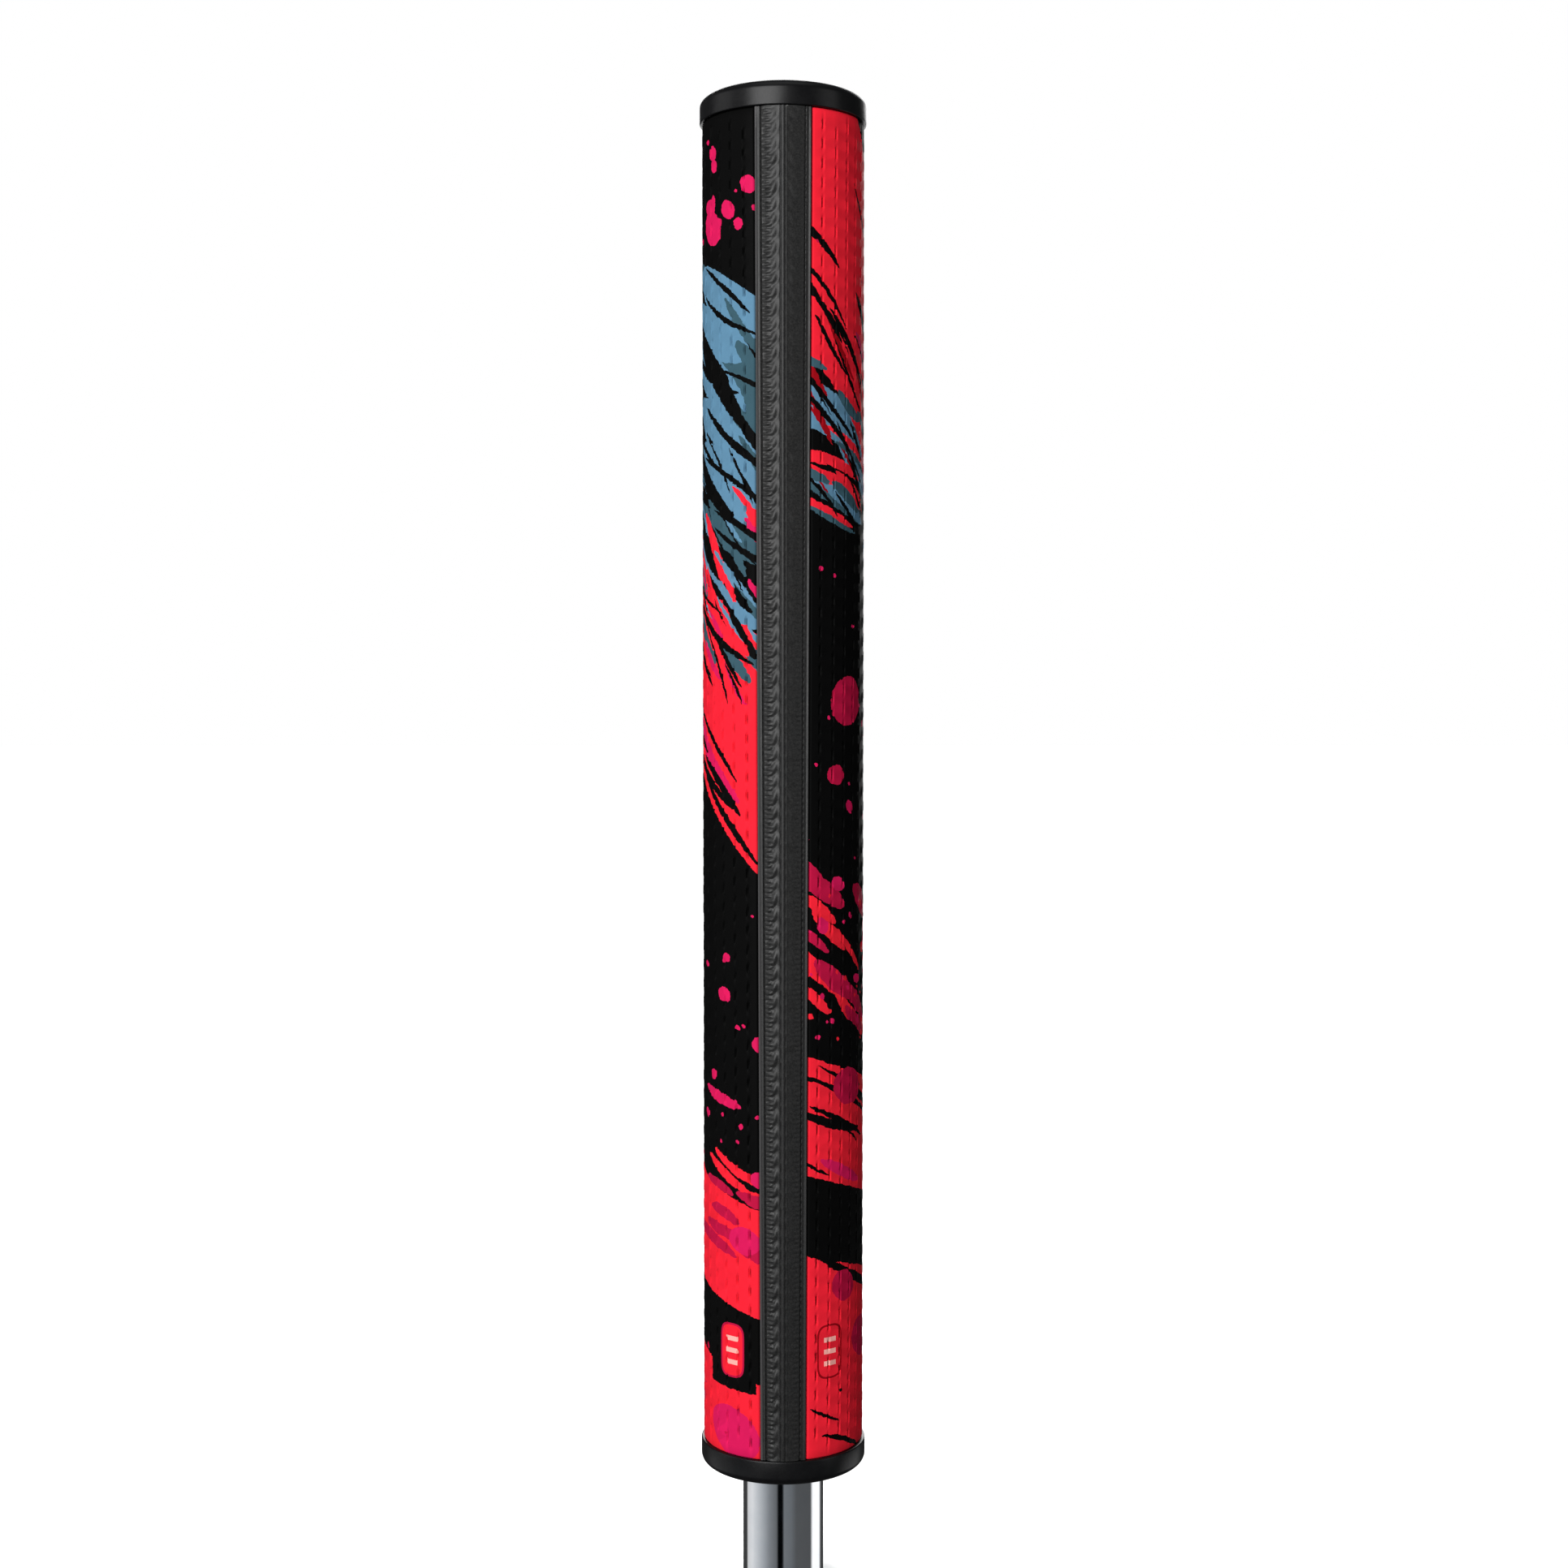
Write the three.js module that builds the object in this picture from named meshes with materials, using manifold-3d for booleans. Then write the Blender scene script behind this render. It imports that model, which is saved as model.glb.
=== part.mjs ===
// A midsize, non-tapering putter grip on the butt end of its steel shaft, as separate pieces.
// Millimetres. +Z runs up the shaft to the butt, and the origin is on the shaft's axis at its cut
// lower end. -Y is the back, where the spine strip runs, and +Y is the flat thumb side.
import * as THREE from "three";
import { mergeVertices, toCreasedNormals } from "three/addons/utils/BufferGeometryUtils.js";
import Module from "manifold-3d";

const wasm = await Module();
wasm.setup();

// Shaft, and the tape that holds the grip on it.
const SHAFT_RADIUS = 15.24 / 2; // a .600 inch putter shaft
const SHAFT_WALL = 1.0;
const SHAFT_SHOWN = 25; // the stretch below the grip
const TAPE = 0.2;
const GLUE = 0.1; // every glue line, and the clearance of a piece that is moulded round another

// The body's section: a round back, a flat thumb side and an arc at each corner between them.
const GRIP_LENGTH = 255.4; // from mouth to butt
const BODY_RADIUS = 15;
const FLAT_DEPTH = 13.2; // from the axis to the flat
const CORNER_RADIUS = 4;
const SKIN = 1.0;
const BACKING = 0.5;
const BACKING_SEAM = 0.6; // the slit between the backing's two edges

// Butt cap and mouth ring.
const RIM_PROUD = 0.5; // how far both stand out over the skin
const CAP_BAND = 5.05;
const CAP_PLATE = 2.7;
const CAP_SHOULDER = { inward: 3.6, along: 2.0 };
const RING_BAND = 4.65;
const RING_FLOOR = 2.2;
const RING_SHOULDER = { inward: 1.65, along: 1.6 };
const LIP_CHAMFER = 0.25; // on the edge next to the skin
const NECK_LENGTH = 13; // from the butt face down to the end of the cap's neck
const NECK_FLOOR = 1.8;

// Spine strip. Its profile goes from the edge to the middle as [share of half width, height over
// the skin].
const STRIP_HALF_TOP = 5.15;
const STRIP_HALF_BOTTOM = 4.15;
const STRIP_BASE_RADIUS = BODY_RADIUS - SKIN;
const STRIP_CREST = 0.8; // over the skin
const STRIP_END_CREST = 0.45; // where the strip runs into the cap and the ring
const STRIP_END = 4; // the length of that run-down
const STRIP_PROFILE = [
  [1, 0.05],
  [0.95, 0.25],
  [0.86, 0.25],
  [0.8, 0],
];

// Butt port: a threaded insert, a screw plug with a coin slot and a seal ring under its head.
const PITCH = 1.5;
const THREAD_CREST = 4.8;
const THREAD_DEPTH = 0.6;
const THREAD_FLAT = 0.35; // the width of the crest
const THREAD_FLANK = 0.3; // along the axis
const THREAD_CLEARANCE = 0.25;
const THREAD_SIDE_CLEARANCE = 0.15;
const COUNTERBORE = { radius: 7.2, depth: 2.8 };
const INSERT = { radius: 6.0, flange: 7.05, flangeHeight: 0.6, floor: 1.2 };
const KEY_GROOVE = { depth: 0.45, halfBottom: 0.8, halfMouth: 1.2 }; // keys the insert into the cap
const VENT_RADIUS = 1.0;
const PLUG = { head: 6.6, headHeight: 1.0, sunk: 0.1, neck: 4.85, reach: 8.7, chamfer: 0.25 };
const COIN_SLOT = { width: 1.3, depth: 0.7, length: 10 };
const SEAL = { radius: 5.6, section: 0.47 };

// How finely the curves are cut.
const BACK_STEPS = 24;
const CORNER_STEPS = 6;
const ROUND_STEPS = 48;
const THREAD_STEPS = 36;
const SHOULDER_STEPS = 6;
const CREASE = Math.PI / 6;
const WELD = 1e-3;

// Heights worked out from the lengths above.
const MOUTH = SHAFT_SHOWN;
const BUTT = MOUTH + GRIP_LENGTH;
const RING_TOP = MOUTH + RING_BAND;
const CAP_BOTTOM = BUTT - CAP_BAND;
const NECK_BOTTOM = BUTT - NECK_LENGTH;
const SHAFT_TOP = NECK_BOTTOM - 0.4;
const CORE_INSET = SKIN + BACKING + 2 * GLUE;
const PORT_FLOOR = BUTT - COUNTERBORE.depth; // where the insert's flange rests
const INSERT_TOP = PORT_FLOOR + GLUE + INSERT.flangeHeight;
const INSERT_BOTTOM = NECK_BOTTOM + NECK_FLOOR + GLUE;
const PLUG_TOP = BUTT - PLUG.sunk;
const HEAD_BOTTOM = PLUG_TOP - PLUG.headHeight;
const TAPE_BOTTOM = MOUTH + RING_FLOOR + 2 * GLUE;

// ---- Shapes ----

const at = (ring, z) => ring.map((p) => new THREE.Vector3(p.x, p.y, z));
const mixed = THREE.MathUtils.lerp;

function arc(radius, from, to, steps, cx = 0, cy = 0) {
  return Array.from({ length: steps + 1 }, (_, i) => {
    const a = mixed(from, to, i / steps);
    return new THREE.Vector2(cx + radius * Math.cos(a), cy + radius * Math.sin(a));
  });
}

// The body's outline moved out by an offset, anticlockwise from the middle of the back. With a gap
// it starts and ends that far to each side of the middle.
function outline(offset, halfGap = 0) {
  const cornerY = FLAT_DEPTH - CORNER_RADIUS;
  const cornerX = Math.sqrt((BODY_RADIUS - CORNER_RADIUS) ** 2 - cornerY ** 2);
  const turn = Math.atan2(cornerY, cornerX);
  const radius = BODY_RADIUS + offset;
  const start = -Math.PI / 2 + Math.asin(halfGap / radius);
  const right = [
    ...arc(radius, start, turn, BACK_STEPS),
    ...arc(CORNER_RADIUS + offset, turn, Math.PI / 2, CORNER_STEPS, cornerX, cornerY).slice(1),
  ];
  const left = right.map((p) => new THREE.Vector2(-p.x, p.y)).reverse();
  return [...right, ...(halfGap ? left : left.slice(0, -1))];
}

// A closed solid through rings of points from low to high, each anticlockwise and of equal count.
function loft(rings) {
  const n = rings[0].length;
  const index = [];
  for (let k = 0; k + 1 < rings.length; k++)
    for (let i = 0; i < n; i++) {
      const a = k * n + i;
      const b = k * n + ((i + 1) % n);
      index.push(a, b, b + n, a, b + n, a + n);
    }
  const top = (rings.length - 1) * n;
  for (const [a, b, c] of THREE.ShapeUtils.triangulateShape(rings[0], [])) index.push(c, b, a);
  for (const [a, b, c] of THREE.ShapeUtils.triangulateShape(rings.at(-1), []))
    index.push(top + a, top + b, top + c);
  return new THREE.BufferGeometry().setFromPoints(rings.flat()).setIndex(index);
}

// A straight prism of the body's section, solid or with a round hole along the axis.
function prism(offset, bottom, top, holeRadius = 0) {
  const shape = new THREE.Shape(outline(offset));
  if (holeRadius) shape.holes.push(new THREE.Path(arc(holeRadius, 0, 2 * Math.PI, ROUND_STEPS)));
  const settings = { depth: top - bottom, bevelEnabled: false };
  return new THREE.ExtrudeGeometry(shape, settings).translate(0, 0, bottom);
}

// A solid of revolution about Z. Its [radius, height] profile runs up the outside.
function turned(profile) {
  const points = profile.map(([r, z]) => new THREE.Vector2(r, z));
  return new THREE.LatheGeometry(points, ROUND_STEPS).rotateX(Math.PI / 2);
}

const rod = (radius, bottom, top) =>
  turned([
    [0, bottom],
    [radius, bottom],
    [radius, top],
    [0, top],
  ]);

// A threaded rod. Its rows follow the helix, so row m + rows of one turn joins row m at the seam.
function threadedRod(bottom, top, clearance, sideClearance) {
  const crest = THREAD_CREST + clearance;
  const root = crest - THREAD_DEPTH;
  const flat = THREAD_FLAT + 2 * sideClearance;
  const corners = [
    [crest, -flat / 2],
    [crest, flat / 2],
    [root, flat / 2 + THREAD_FLANK],
    [root, PITCH - flat / 2 - THREAD_FLANK],
  ];
  const rows = corners.length;
  const turns = Math.ceil((top - bottom) / PITCH) + 2;
  const first = Math.floor(bottom / PITCH) * PITCH - PITCH;
  const points = [];
  for (let m = 0; m <= rows * turns; m++)
    for (let i = 0; i < THREAD_STEPS; i++) {
      const [radius, height] = corners[m % rows];
      const a = (2 * Math.PI * i) / THREAD_STEPS;
      const z = first + height + PITCH * (Math.floor(m / rows) + i / THREAD_STEPS);
      points.push(new THREE.Vector3(radius * Math.cos(a), radius * Math.sin(a), z));
    }
  const id = (m, i) => (i < THREAD_STEPS ? m * THREAD_STEPS + i : (m + rows) * THREAD_STEPS);
  const index = [];
  for (let m = 0; m < rows * turns; m++)
    for (let i = 0; i < THREAD_STEPS; i++) {
      if (i === THREAD_STEPS - 1 && m + 1 + rows > rows * turns) continue;
      const [a, b, c, d] = [id(m, i), id(m, i + 1), id(m + 1, i + 1), id(m + 1, i)];
      index.push(a, b, c, a, c, d);
    }
  // Each end is a fan over one turn of the helix and the step that closes it.
  const fan = (loop, z) => {
    points.push(new THREE.Vector3(0, 0, z));
    loop.forEach((a, k) => index.push(points.length - 1, a, loop[(k + 1) % loop.length]));
  };
  const turn = Array.from({ length: THREAD_STEPS }, (_, i) => i);
  const step = Array.from({ length: rows }, (_, k) => k + 1);
  const last = rows * turns;
  const below = [...turn.map((i) => id(0, i)), ...step.map((k) => id(rows + 1 - k, 0))];
  const above = [...turn.map((i) => id(last, i)), ...step.map((k) => id(last - k, turn.at(-1)))];
  fan(below.reverse(), first);
  fan(above, first + PITCH * turns);
  const geometry = new THREE.BufferGeometry().setFromPoints(points).setIndex(index);
  return solid(geometry).intersect(solid(rod(crest + 1, bottom, top)));
}

function solid(geometry) {
  const bare = new THREE.BufferGeometry();
  bare.setAttribute("position", geometry.getAttribute("position"));
  bare.setIndex(geometry.index);
  const merged = mergeVertices(bare, WELD);
  const vertProperties = merged.getAttribute("position").array;
  const triVerts = new Uint32Array(merged.index.array);
  return new wasm.Manifold(new wasm.Mesh({ numProp: 3, vertProperties, triVerts }));
}

function geometryOf(made) {
  const { vertProperties, triVerts } = made.getMesh();
  return new THREE.BufferGeometry()
    .setAttribute("position", new THREE.BufferAttribute(vertProperties, 3))
    .setIndex(new THREE.BufferAttribute(triVerts, 1));
}

// ---- Pieces ----

const grip = new THREE.Group();

function piece(name, geometry, color, roughness, metalness = 0) {
  const material = new THREE.MeshStandardMaterial({ color, roughness, metalness });
  const mesh = new THREE.Mesh(toCreasedNormals(geometry, CREASE), material);
  mesh.name = name;
  grip.add(mesh);
}

function shaftTube() {
  const bore = SHAFT_RADIUS - SHAFT_WALL;
  return turned([
    [SHAFT_RADIUS, 0],
    [SHAFT_RADIUS, SHAFT_TOP],
    [bore, SHAFT_TOP],
    [bore, 0],
    [SHAFT_RADIUS, 0],
  ]);
}

// One strip of tape rolled round the shaft, with the slit between its edges at the back.
function gripTape() {
  const inner = SHAFT_RADIUS + GLUE;
  const slit = BACKING_SEAM / 2 / inner;
  const ring = [
    ...arc(inner + TAPE, slit - Math.PI / 2, (3 * Math.PI) / 2 - slit, ROUND_STEPS),
    ...arc(inner, (3 * Math.PI) / 2 - slit, slit - Math.PI / 2, ROUND_STEPS),
  ];
  return loft([at(ring, TAPE_BOTTOM), at(ring, SHAFT_TOP)]);
}

function foamCore() {
  const bore = SHAFT_RADIUS + TAPE + 2 * GLUE;
  return prism(-CORE_INSET, MOUTH + RING_FLOOR + GLUE, BUTT - CAP_PLATE - GLUE, bore);
}

// A wrap between two offsets of the outline, open at the back. The gap widens towards the butt.
function wrap(outer, inner, halfGapBottom, halfGapTop) {
  const ring = (halfGap, z) =>
    at([...outline(outer, halfGap), ...outline(inner, halfGap).reverse()], z);
  return loft([
    ring(halfGapBottom, RING_TOP + GLUE),
    ring(halfGapTop, CAP_BOTTOM - GLUE),
  ]);
}

const textileBacking = () =>
  wrap(-SKIN - GLUE, -SKIN - GLUE - BACKING, BACKING_SEAM / 2, BACKING_SEAM / 2);

const outerSkin = () => wrap(0, -SKIN, STRIP_HALF_BOTTOM + GLUE, STRIP_HALF_TOP + GLUE);

function spineStrip() {
  const [bottom, top] = [RING_TOP + GLUE, CAP_BOTTOM - GLUE];
  const ring = (z, crest) => {
    const halfWidth = mixed(STRIP_HALF_BOTTOM, STRIP_HALF_TOP, (z - bottom) / (top - bottom));
    const onArc = (radius, x) => new THREE.Vector3(x, -Math.sqrt(radius ** 2 - x ** 2), z);
    const flank = STRIP_PROFILE.map(([u, height]) => [u * halfWidth, BODY_RADIUS + height]);
    const left = flank.map(([x, radius]) => onArc(radius, -x));
    const right = flank.map(([x, radius]) => onArc(radius, x)).reverse();
    const base = [1, 0.5, 0, -0.5, -1].map((u) => onArc(STRIP_BASE_RADIUS, u * halfWidth));
    return [...left, onArc(BODY_RADIUS + crest, 0), ...right, ...base];
  };
  return loft([
    ring(bottom, STRIP_END_CREST),
    ring(bottom + STRIP_END, STRIP_CREST),
    ring(top - STRIP_END, STRIP_CREST),
    ring(top, STRIP_END_CREST),
  ]);
}

// The rings of a band that stands proud, from a chamfered lip next to the skin to the elliptic
// shoulder at its other end.
function bandRings(lip, end, shoulder) {
  const up = Math.sign(end - lip);
  const rings = [
    at(outline(RIM_PROUD - LIP_CHAMFER), lip),
    at(outline(RIM_PROUD), lip + up * LIP_CHAMFER),
  ];
  for (let i = 0; i <= SHOULDER_STEPS; i++) {
    const a = ((Math.PI / 2) * i) / SHOULDER_STEPS;
    const offset = RIM_PROUD - shoulder.inward * (1 - Math.cos(a));
    rings.push(at(outline(offset), end - up * shoulder.along * (1 - Math.sin(a))));
  }
  return up > 0 ? rings : rings.reverse();
}

function buttCap() {
  const neckTop = BUTT - CAP_PLATE;
  const neckRadius = SHAFT_RADIUS + TAPE + GLUE;
  const boreRadius = INSERT.radius + GLUE;
  const made = solid(loft(bandRings(CAP_BOTTOM, BUTT, CAP_SHOULDER)))
    .subtract(solid(prism(-CORE_INSET + GLUE, CAP_BOTTOM - 1, neckTop)))
    .add(solid(rod(neckRadius, NECK_BOTTOM, neckTop + 1)))
    .subtract(solid(rod(COUNTERBORE.radius, PORT_FLOOR, BUTT + 1)))
    .subtract(solid(rod(boreRadius, NECK_BOTTOM + NECK_FLOOR, BUTT)))
    .subtract(solid(rod(VENT_RADIUS, NECK_BOTTOM - 1, BUTT)));
  return geometryOf(made);
}

function mouthRing() {
  const floorTop = MOUTH + RING_FLOOR;
  const made = solid(loft(bandRings(RING_TOP, MOUTH, RING_SHOULDER)))
    .subtract(solid(prism(-CORE_INSET + GLUE, floorTop, RING_TOP + 1)))
    .subtract(solid(rod(SHAFT_RADIUS + GLUE, MOUTH - 1, RING_TOP)));
  return geometryOf(made);
}

// A sleeve with a flange and a groove that keys it into the cap, a floor with a vent, and a thread.
function portInsert() {
  const { radius, flange, flangeHeight, floor } = INSERT;
  const { depth, halfBottom, halfMouth } = KEY_GROOVE;
  const middle = (INSERT_BOTTOM + INSERT_TOP) / 2;
  const threadTop = THREAD_CREST + THREAD_CLEARANCE;
  const blank = turned([
    [0, INSERT_BOTTOM],
    [radius, INSERT_BOTTOM],
    [radius, middle - halfMouth],
    [radius - depth, middle - halfBottom],
    [radius - depth, middle + halfBottom],
    [radius, middle + halfMouth],
    [radius, INSERT_TOP - flangeHeight],
    [flange, INSERT_TOP - flangeHeight],
    [flange, INSERT_TOP],
    [0, INSERT_TOP],
  ]);
  const threadBottom = INSERT_BOTTOM + floor;
  const leadIn = turned([
    [0, INSERT_TOP - THREAD_DEPTH],
    [threadTop - THREAD_DEPTH, INSERT_TOP - THREAD_DEPTH],
    [threadTop, INSERT_TOP],
    [threadTop, INSERT_TOP + 1],
    [0, INSERT_TOP + 1],
  ]);
  const made = solid(blank)
    .subtract(threadedRod(threadBottom, INSERT_TOP + 1, THREAD_CLEARANCE, THREAD_SIDE_CLEARANCE))
    .subtract(solid(leadIn))
    .subtract(solid(rod(VENT_RADIUS, INSERT_BOTTOM - 1, INSERT_TOP)));
  return geometryOf(made);
}

function portPlug() {
  const { head, neck, reach, chamfer } = PLUG;
  const tip = PLUG_TOP - reach;
  const point = turned([
    [0, tip],
    [THREAD_CREST - THREAD_DEPTH, tip],
    [THREAD_CREST + GLUE, tip + THREAD_DEPTH + GLUE],
    [THREAD_CREST + GLUE, HEAD_BOTTOM],
    [0, HEAD_BOTTOM],
  ]);
  const top = turned([
    [0, INSERT_TOP],
    [neck, INSERT_TOP],
    [neck, HEAD_BOTTOM],
    [head, HEAD_BOTTOM],
    [head, PLUG_TOP - chamfer],
    [head - chamfer, PLUG_TOP],
    [0, PLUG_TOP],
  ]);
  const { width, depth, length } = COIN_SLOT;
  const slot = new THREE.BoxGeometry(length, width, 2 * depth).translate(0, 0, PLUG_TOP);
  const made = threadedRod(tip, INSERT_TOP, 0, 0)
    .intersect(solid(point))
    .add(solid(top))
    .subtract(solid(slot));
  return geometryOf(made);
}

function plugSeal() {
  const { radius, section } = SEAL;
  return new THREE.TorusGeometry(radius, section, 10, THREAD_STEPS).translate(
    0,
    0,
    (INSERT_TOP + HEAD_BOTTOM) / 2,
  );
}

piece("shaft_tube", shaftTube(), 0xd2d4d8, 0.08, 1);
piece("grip_tape", gripTape(), 0xd9cfae, 0.8);
piece("foam_core", foamCore(), 0x2b2b2d, 0.95);
piece("textile_backing", textileBacking(), 0x8f8f8c, 0.95);
piece("outer_skin", outerSkin(), 0xee2d40, 0.5);
piece("spine_strip", spineStrip(), 0x262525, 0.6);
piece("butt_cap", buttCap(), 0x121214, 0.55);
piece("mouth_ring", mouthRing(), 0x121214, 0.55);
piece("port_insert", portInsert(), 0x2a2a2c, 0.5);
piece("port_plug", portPlug(), 0x1a1a1c, 0.45);
piece("plug_seal", plugSeal(), 0x0e0e0e, 0.6);

export default grip;
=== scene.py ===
"""A midsize putter grip with a printed wrap, on the butt end of its chromed shaft.

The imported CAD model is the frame. The pieces that show are built again here as fine meshes of the
same size, with procedural materials. Lengths are millimetres, up to the mesh data in metres.
"""

import math

import bmesh
import bpy
import numpy as np
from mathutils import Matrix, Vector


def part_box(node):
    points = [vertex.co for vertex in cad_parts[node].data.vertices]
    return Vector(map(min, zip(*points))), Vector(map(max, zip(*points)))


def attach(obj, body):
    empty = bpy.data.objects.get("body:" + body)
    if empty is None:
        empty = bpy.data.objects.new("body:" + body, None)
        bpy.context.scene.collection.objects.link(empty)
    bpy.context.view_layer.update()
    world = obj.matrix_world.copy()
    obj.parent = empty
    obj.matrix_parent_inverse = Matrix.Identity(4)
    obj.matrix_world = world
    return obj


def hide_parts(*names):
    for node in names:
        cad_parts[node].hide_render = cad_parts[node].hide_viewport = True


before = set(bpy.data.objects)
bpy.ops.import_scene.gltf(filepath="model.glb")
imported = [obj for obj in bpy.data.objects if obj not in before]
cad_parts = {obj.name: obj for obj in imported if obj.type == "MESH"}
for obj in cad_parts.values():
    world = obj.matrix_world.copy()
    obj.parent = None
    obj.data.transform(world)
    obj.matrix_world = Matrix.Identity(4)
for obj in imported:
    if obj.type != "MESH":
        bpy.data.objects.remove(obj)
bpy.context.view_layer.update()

MM = 0.001


def span(node):
    """Lowest and highest corner of a CAD node, in millimetres."""
    low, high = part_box(node)
    return low / MM, high / MM


# ---- Sizes, read from the frame where it states them ----

skin_low, skin_high = span("outer_skin")
strip_low, strip_high = span("spine_strip")
cap_low, cap_high = span("butt_cap")
ring_low, ring_high = span("mouth_ring")
tube_low, tube_high = span("shaft_tube")
plug_low, plug_high = span("port_plug")
seal_low, seal_high = span("plug_seal")

BODY_RADIUS = skin_high.x
FLAT_DEPTH = skin_high.y
CORNER_RADIUS = 4.0
SKIN_THICKNESS = 1.0
CORE_INSET = 1.6
GAP = 0.1

STRIP_HALF_TOP = strip_high.x
STRIP_HALF_BOTTOM = STRIP_HALF_TOP - 1.0
STRIP_CREST = -strip_low.y
STRIP_END = 4.0
STRIP_END_DROP = 0.35

RIM = cap_high.x - BODY_RADIUS
CAP_SHOULDER = (3.6, 2.0)
RING_SHOULDER = (1.65, 1.6)
CAP_PLATE = 2.7
RING_FLOOR = 2.2
COUNTERBORE = (7.2, 2.8)
INSERT_BORE = 6.1
NECK_RADIUS = 7.92
NECK_FLOOR = 1.8
VENT_RADIUS = 1.0

TUBE_RADIUS = tube_high.x
TUBE_WALL = 1.0

PITCH = 1.5
THREAD_CREST = 4.8
THREAD_DEPTH = 0.6
THREAD_FLAT = 0.35
THREAD_FLANK = 0.3

random = np.random.default_rng(7)


# ---- Camera, lights and floor ----


def make_camera():
    """A 50 mm lens in front of the spine strip, a little above the middle and tilted a little down."""
    data = bpy.data.cameras.new("camera")
    data.lens = 50.0
    data.sensor_width = 36.0
    data.clip_start = 0.01
    camera = bpy.data.objects.new("camera", data)
    camera.location = (0.000145, -0.4086, 0.1714)
    camera.rotation_euler = (math.pi / 2 - 0.0441, 0, 0)
    bpy.context.scene.collection.objects.link(camera)
    bpy.context.scene.camera = camera


def around(azimuth, distance, height):
    """A point at an azimuth from the camera's side, positive to the right."""
    a = math.radians(azimuth)
    return (distance * math.sin(a), -distance * math.cos(a), height)


def area_light(name, place, size, power, gloss=1.0):
    """A soft box that looks at the middle of the grip. Its gloss scales the highlights that it makes."""
    data = bpy.data.lights.new(name, "AREA")
    data.shape = "RECTANGLE"
    data.size, data.size_y = size
    data.energy = power
    data.specular_factor = gloss
    light = bpy.data.objects.new(name, data)
    light.location = place
    aim = Vector((0, 0, 0.15)) - light.location
    light.rotation_euler = aim.to_track_quat("-Z", "Y").to_euler()
    light.visible_camera = False
    bpy.context.scene.collection.objects.link(light)


# What the shaft mirrors: azimuth, brightness and warmth, from the left round the front to the right.
MIRRORED = [
    (-180, 0.05, 1.0),
    (-128, 0.05, 1.0),
    (-122, 0.70, 1.0),
    (-100, 0.82, 0.98),
    (-82, 0.66, 0.94),
    (-60, 0.46, 0.90),
    (-40, 0.26, 0.88),
    (-19, 0.15, 0.90),
    (-14, 0.002, 0.6),
    (-2, 0.002, 0.6),
    (3, 0.20, 0.87),
    (22, 0.17, 0.86),
    (38, 0.10, 0.92),
    (85, 0.095, 0.92),
    (94, 1.2, 1.0),
    (124, 1.2, 1.0),
    (136, 0.06, 0.97),
    (180, 0.055, 0.97),
]


def make_mirrored_room():
    """A band of light and dark round the object, below the floor's level, that only the shaft mirrors."""
    radius, low, high = 0.7, -0.42, -0.16
    steps = 120
    points = []
    for i in range(steps):
        azimuth = 360 * i / steps
        points += [around(azimuth, radius, low), around(azimuth, radius, high)]
    faces = [(2 * i, 2 * i + 1, (2 * i + 3) % (2 * steps), (2 * i + 2) % (2 * steps)) for i in range(steps)]
    mesh = bpy.data.meshes.new("mirrored_room")
    mesh.from_pydata(points, [], faces)
    room = bpy.data.objects.new("mirrored_room", mesh)
    p = Paint("mirrored_room")
    axes = p.add("SeparateXYZ", {0: p.add("TexCoord").outputs["Object"]})
    behind = p.math("MULTIPLY", axes.outputs["Y"], -1.0)
    azimuth = p.math("ARCTAN2", axes.outputs["X"], behind)
    ramp = p.add("ValToRGB", {0: p.between(azimuth, -math.pi, math.pi)})
    stops = ramp.color_ramp.elements
    for i, (degrees, light, warmth) in enumerate(MIRRORED):
        stop = stops[i] if i < 2 else stops.new(1.0)
        stop.position = (degrees + 180) / 360
        stop.color = (light * warmth, light * (1 + warmth) / 2, light, 1)
    glow = p.add("Emission", {0: ramp.outputs["Color"]})
    p.tree.nodes.remove(p.shader)
    p.tree.links.new(glow.outputs[0], p.tree.nodes["Material Output"].inputs["Surface"])
    mesh.materials.append(p.material)
    room.visible_camera = False
    room.visible_diffuse = False
    room.visible_shadow = False
    bpy.context.scene.collection.objects.link(room)


def make_lights():
    area_light("key", around(-24, 1.0, 0.45), (0.7, 0.9), 15.0)
    area_light("side_left", around(-88, 0.9, 0.3), (0.5, 0.9), 1.6, gloss=0.15)
    area_light("side_right", around(64, 1.0, 0.3), (0.4, 0.9), 1.3, gloss=0.15)
    area_light("behind", around(172, 1.1, 0.45), (0.8, 0.9), 9.0, gloss=0.08)
    area_light("overhead", (0, -0.1, 1.1), (0.6, 0.6), 0.6)


def make_world():
    """White where the camera looks past the object, and a soft grey fill everywhere else."""
    world = bpy.data.worlds.new("studio")
    world.use_nodes = True
    bpy.context.scene.world = world
    tree = world.node_tree
    tree.nodes.clear()
    path = tree.nodes.new("ShaderNodeLightPath")
    fill = tree.nodes.new("ShaderNodeBackground")
    fill.inputs["Color"].default_value = (0.94, 0.97, 1.0, 1)
    fill.inputs["Strength"].default_value = 0.06
    white = tree.nodes.new("ShaderNodeBackground")
    white.inputs["Color"].default_value = (1, 1, 1, 1)
    white.inputs["Strength"].default_value = 1.0
    mix = tree.nodes.new("ShaderNodeMixShader")
    out = tree.nodes.new("ShaderNodeOutputWorld")
    tree.links.new(path.outputs["Is Camera Ray"], mix.inputs[0])
    tree.links.new(fill.outputs[0], mix.inputs[1])
    tree.links.new(white.outputs[0], mix.inputs[2])
    tree.links.new(mix.outputs[0], out.inputs["Surface"])


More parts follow.
